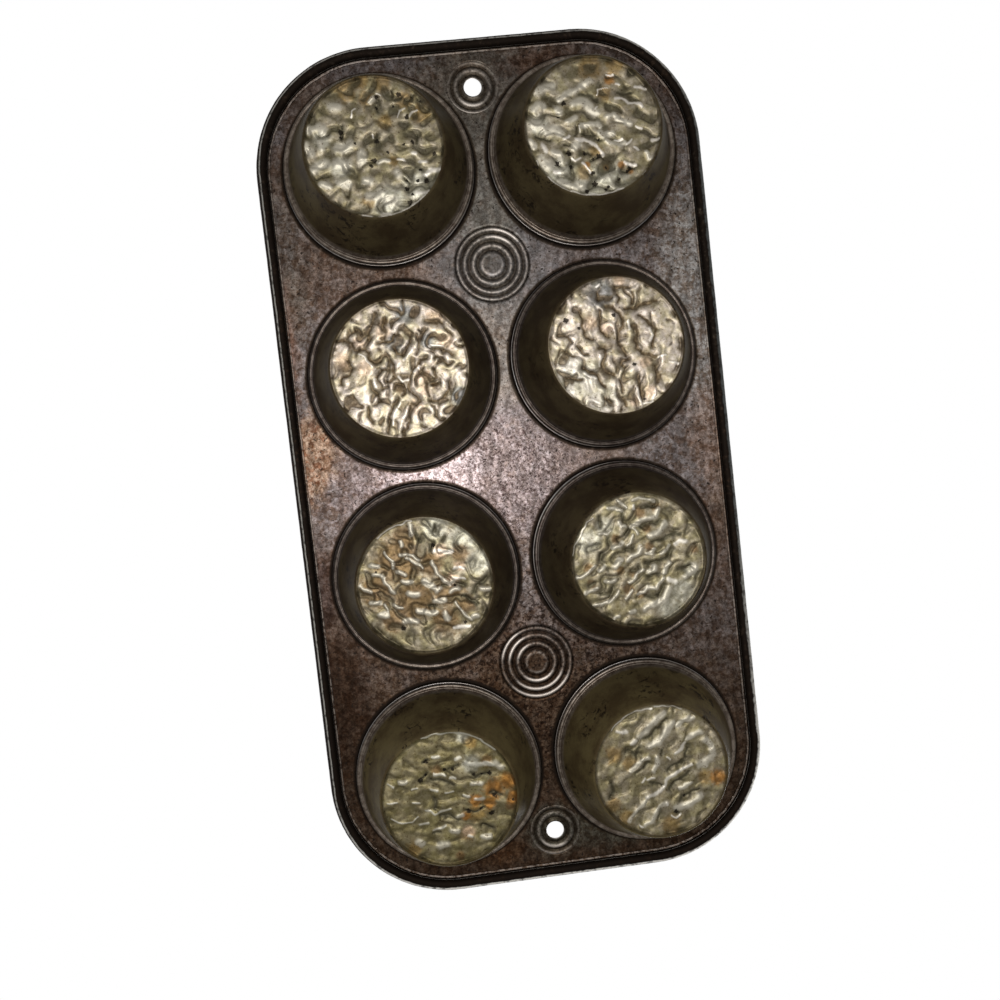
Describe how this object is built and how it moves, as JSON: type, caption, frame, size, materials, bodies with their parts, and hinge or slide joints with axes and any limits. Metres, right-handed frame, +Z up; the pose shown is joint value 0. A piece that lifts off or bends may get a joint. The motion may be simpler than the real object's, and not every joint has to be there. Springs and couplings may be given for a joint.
{
  "type": "muffin pan",
  "caption": "Rectangular tin baking pan with tapered round cups locked into a wired sheet frame with round corners and a hanging hole at each end.",
  "frame": {"origin": "middle of the pan on the plane that the cup bottoms stand on", "axes": "+Z up as the pan is used, mouths up; Y along the long side; X across it"},
  "size_m": [0.1768, 0.3388, 0.0323],
  "materials": {
    "frame_tin": "tinned sheet steel, browned and speckled by baking, satin",
    "cup_tin": "drawn tinned steel, olive-brown patina on the walls, brighter crimped bottoms",
    "wire_steel": "plain drawn steel wire"
  },
  "bodies": {
    "root": {"frame_plate": "frame_tin", "rim_wire": "wire_steel", "cup_1_left": "cup_tin", "cup_1_right": "cup_tin", "cup_2_left": "cup_tin", "cup_2_right": "cup_tin", "cup_3_left": "cup_tin", "cup_3_right": "cup_tin", "cup_4_left": "cup_tin", "cup_4_right": "cup_tin"}
  },
  "joints": []
}
